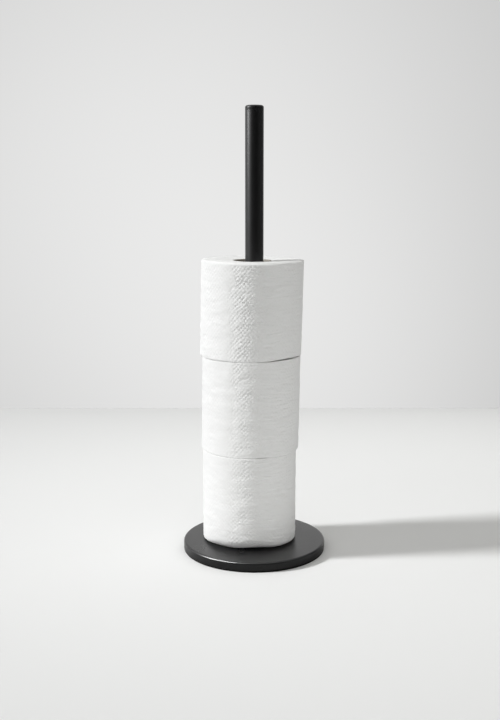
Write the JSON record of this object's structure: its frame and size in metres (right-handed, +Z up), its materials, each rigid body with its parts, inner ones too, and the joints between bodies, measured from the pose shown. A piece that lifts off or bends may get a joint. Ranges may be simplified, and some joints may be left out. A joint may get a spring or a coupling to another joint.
{
  "type": "toilet roll holder",
  "caption": "Free-standing black toilet roll stand: a round weighted base and a straight capped pole, with white embossed rolls that lift off over the pole.",
  "frame": {"origin": "on the floor, under the axis of the pole and the base", "axes": "+Z up along the pole; the picture looks along +Y, with +X to its right"},
  "size_m": [0.1524, 0.1524, 0.4677],
  "materials": {
    "coating": "satin",
    "iron": "matte",
    "zinc_steel": "satin",
    "pad_rubber": "matte",
    "card": "matte",
    "tissue": "matte"
  },
  "bodies": {
    "stand": {"base_cover": "coating", "base_weight": "iron", "base_pad": "pad_rubber", "pole_tube": "coating", "pole_insert": "zinc_steel", "pole_cap": "coating", "clamp_screw": "zinc_steel", "clamp_washer": "zinc_steel"},
    "bottom_roll": {"bottom_roll_core": "card"},
    "bottom_winding": {"bottom_roll_paper": "tissue"},
    "middle_roll": {"middle_roll_core": "card"},
    "middle_winding": {"middle_roll_paper": "tissue"},
    "top_roll": {"top_roll_core": "card"},
    "top_winding": {"top_roll_paper": "tissue"}
  },
  "joints": [
    {"name": "bottom_roll_lift", "type": "slide", "parent": "stand", "child": "bottom_roll", "axis": [0, 0, 1], "range_m": [0, 0.467]},
    {"name": "middle_roll_lift", "type": "slide", "parent": "bottom_roll", "child": "middle_roll", "axis": [0, 0, 1], "range_m": [0, 0.367]},
    {"name": "top_roll_lift", "type": "slide", "parent": "middle_roll", "child": "top_roll", "axis": [0, 0, 1], "range_m": [0, 0.266]},
    {"name": "bottom_roll_turn", "type": "hinge", "parent": "bottom_roll", "child": "bottom_winding", "pos_m": [-0.00541, 0.00466, 0.0106], "axis": [0, 0, 1], "continuous": true},
    {"name": "middle_roll_turn", "type": "hinge", "parent": "middle_roll", "child": "middle_winding", "pos_m": [-0.00314, 0.00675, 0.1112], "axis": [0, 0, 1], "continuous": true},
    {"name": "top_roll_turn", "type": "hinge", "parent": "top_roll", "child": "top_winding", "pos_m": [-0.0018, 0.00836, 0.2118], "axis": [0, 0, 1], "continuous": true}
  ]
}
